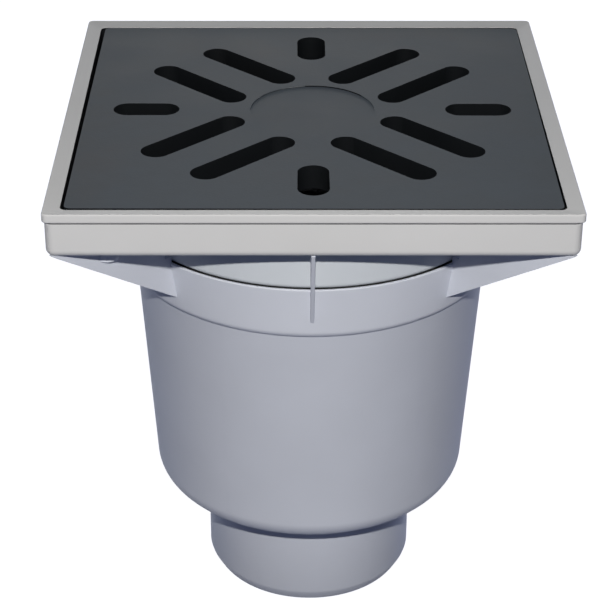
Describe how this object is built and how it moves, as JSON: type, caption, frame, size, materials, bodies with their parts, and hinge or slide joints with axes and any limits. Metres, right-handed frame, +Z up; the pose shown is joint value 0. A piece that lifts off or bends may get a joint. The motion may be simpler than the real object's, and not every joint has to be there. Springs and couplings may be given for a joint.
{
  "type": "floor drain",
  "caption": "Square yard floor drain: loose cast slotted grate in a sloped frame, neck, finned moulded body with silt bucket and hinged odour-trap flap, upright outlet spigot.",
  "frame": {"origin": "centre of the outlet spigot's end face, the lowest point", "axes": "+Z up along the outlet's axis to the grate; +Y away from the viewer of the front, +X to the right; frame sides lie along X and Y"},
  "size_m": [0.244, 0.244, 0.2665],
  "materials": {
    "cast_iron": "bare fine-grained casting, matt to satin",
    "frame_plastic": "pale grey moulded plastic, satin",
    "body_plastic": "pale blue-grey moulded plastic, satin",
    "rubber": "black matt rubber",
    "dark_plastic": "dark moulded plastic, satin",
    "pale_plastic": "natural pale moulded plastic, satin",
    "grey_plastic": "mid grey moulded plastic, satin",
    "steel": "plain stainless steel"
  },
  "bodies": {
    "drain": {"body": "body_plastic", "frame": "frame_plastic", "grate": "cast_iron", "neck_seal": "rubber", "bucket": "dark_plastic", "trap_body": "grey_plastic", "trap_seal": "rubber", "lid_seal": "rubber", "trap_lid": "grey_plastic", "lid_screw_1": "steel", "lid_screw_2": "steel", "lid_screw_3": "steel", "lid_screw_4": "steel", "hinge_pin": "steel", "pin_clip_1": "steel", "pin_clip_2": "steel"},
    "handle": {"bucket_handle": "pale_plastic"},
    "flap": {"flap": "pale_plastic", "flap_seal": "rubber", "flap_washer": "steel", "flap_screw": "steel"}
  },
  "joints": [
    {"name": "bucket_handle_hinge", "type": "hinge", "parent": "drain", "child": "handle", "pos_m": [0, 0, 0.1785], "axis": [0, -1, 0], "range_deg": [0, 180]},
    {"name": "flap_hinge", "type": "hinge", "parent": "drain", "child": "flap", "pos_m": [-0.02, 0, 0.0945], "axis": [0, -1, 0], "range_deg": [0, 68]}
  ]
}
